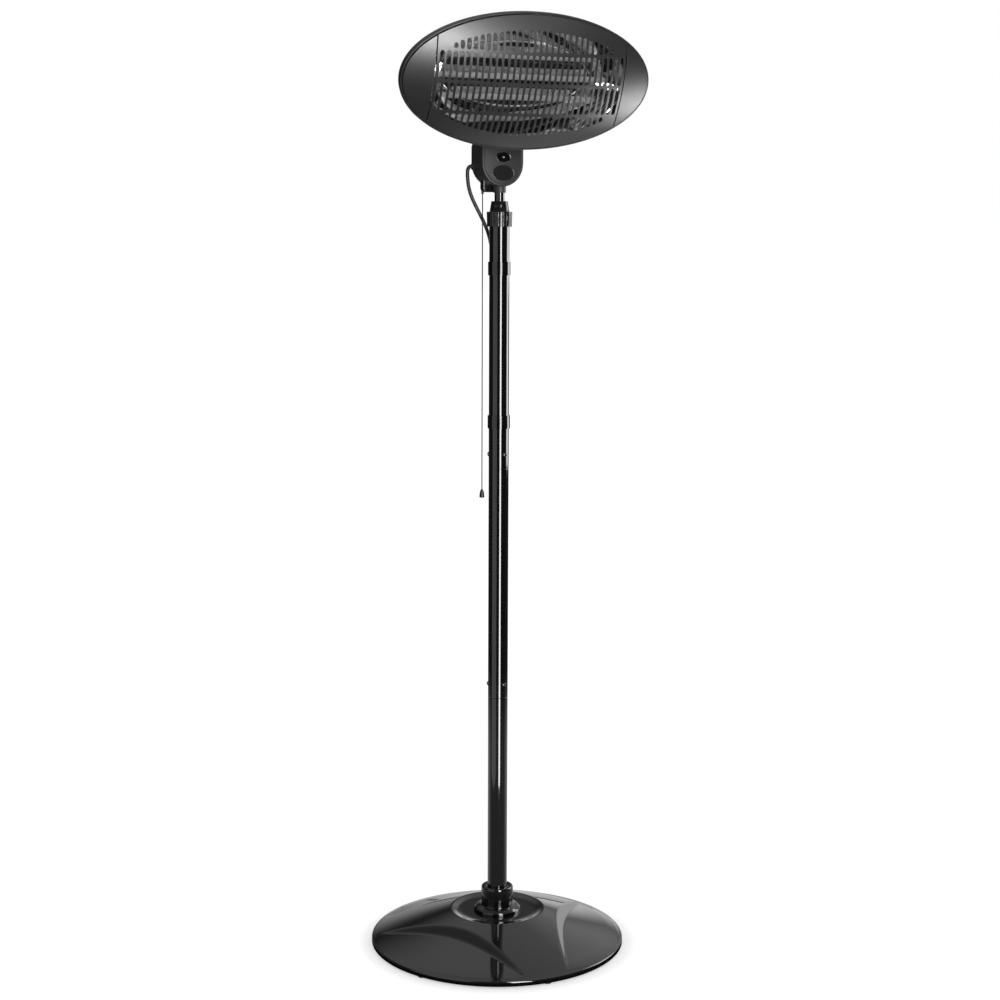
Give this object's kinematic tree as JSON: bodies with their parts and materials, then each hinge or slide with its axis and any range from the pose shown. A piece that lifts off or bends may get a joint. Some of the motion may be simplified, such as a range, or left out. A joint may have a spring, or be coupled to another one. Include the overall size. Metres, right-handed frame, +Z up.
{
  "type": "patio heater",
  "caption": "Free-standing electric patio heater: swirl-pressed round base, telescopic pole, pull-cord switch housing and a tilting oval radiant head behind a slotted grille.",
  "frame": {"origin": "on the floor, under the pole's axis, at the centre of the round base", "axes": "+Z up along the pole, -Y the way the heating head looks, +X to the right of someone facing it"},
  "size_m": [0.5, 0.492, 1.7708],
  "materials": {
    "gloss_black_paint": "high gloss black powder coat",
    "rubber": "matt black rubber",
    "ballast": "plastic-cased cement",
    "zinc": "zinc plated",
    "gloss_moulding": "gloss black moulding",
    "black_screw": "black plated",
    "black_moulding": "matt black moulding",
    "housing": "fine-grained satin black moulding",
    "lens": "dark smoked window",
    "badge": "plain dark badge",
    "switch_body": "off-white moulding",
    "pull_line": "black braided line",
    "bell": "black bell pull",
    "lead_jacket": "black rubber jacket",
    "plug_moulding": "black moulded plug",
    "pin_metal": "nickel plated",
    "satin_black_paint": "satin black paint",
    "reflector_sheet": "bright rolled",
    "quartz": "milky quartz",
    "coil": "oxidised resistance wire",
    "ceramic": "white ceramic"
  },
  "bodies": {
    "stand": {"base_cover": "gloss_black_paint", "rubber_feet": "rubber", "base_weight": "ballast", "pole_flange": "gloss_black_paint", "flange_bolts": "zinc", "flange_cover": "gloss_moulding", "pole_lower": "gloss_black_paint", "pole_middle": "gloss_black_paint", "pole_upper": "gloss_black_paint", "lower_joint_screws": "black_screw", "upper_joint_screws": "black_screw", "lower_cord_clip": "black_moulding", "upper_cord_clip": "black_moulding", "collet": "black_moulding"},
    "collar": {"lock_collar": "black_moulding"},
    "mast": {"inner_tube": "gloss_black_paint", "tube_guide": "black_moulding", "neck_socket": "black_moulding", "housing_front": "housing", "housing_rear": "housing", "indicator_lens": "lens", "badge_plate": "badge", "housing_screws": "black_screw", "pull_switch": "switch_body", "cord_guide": "black_moulding", "cable_gland": "rubber", "mains_lead": "lead_jacket", "lead_hank": "lead_jacket", "hank_tie": "black_moulding", "plug_body": "plug_moulding", "plug_pins": "pin_metal", "tilt_yoke": "satin_black_paint", "tilt_bolt": "zinc"},
    "pull": {"pull_cord": "pull_line", "pull_bell": "bell"},
    "knob": {"tilt_knob": "black_moulding"},
    "head": {"tilt_bracket": "satin_black_paint", "bracket_screws": "black_screw", "rear_shell": "satin_black_paint", "front_grille": "satin_black_paint", "left_end_cap": "satin_black_paint", "right_end_cap": "satin_black_paint", "reflector": "reflector_sheet", "top_quartz_tube": "quartz", "middle_quartz_tube": "quartz", "bottom_quartz_tube": "quartz", "heating_coils": "coil", "left_element_holder": "ceramic", "right_element_holder": "ceramic"}
  },
  "joints": [
    {"name": "collar_twist", "type": "hinge", "parent": "stand", "child": "collar", "pos_m": [0, 0, 1.414], "axis": [0, 0, 1], "range_deg": [0, 120]},
    {"name": "mast_slide", "type": "slide", "parent": "stand", "child": "mast", "axis": [0, 0, 1], "range_m": [0, 0.29]},
    {"name": "head_tilt", "type": "hinge", "parent": "mast", "child": "head", "pos_m": [0, 0.006, 1.625], "axis": [1, 0, 0], "range_deg": [-18.5, 10]},
    {"name": "knob_turn", "type": "hinge", "parent": "mast", "child": "knob", "pos_m": [0.025, 0.006, 1.625], "axis": [1, 0, 0], "range_deg": [0, 180]},
    {"name": "pull_action", "type": "slide", "parent": "mast", "child": "pull", "axis": [0, 0, -1], "range_m": [0, 0.012], "stiffness_N_per_m": 250}
  ]
}
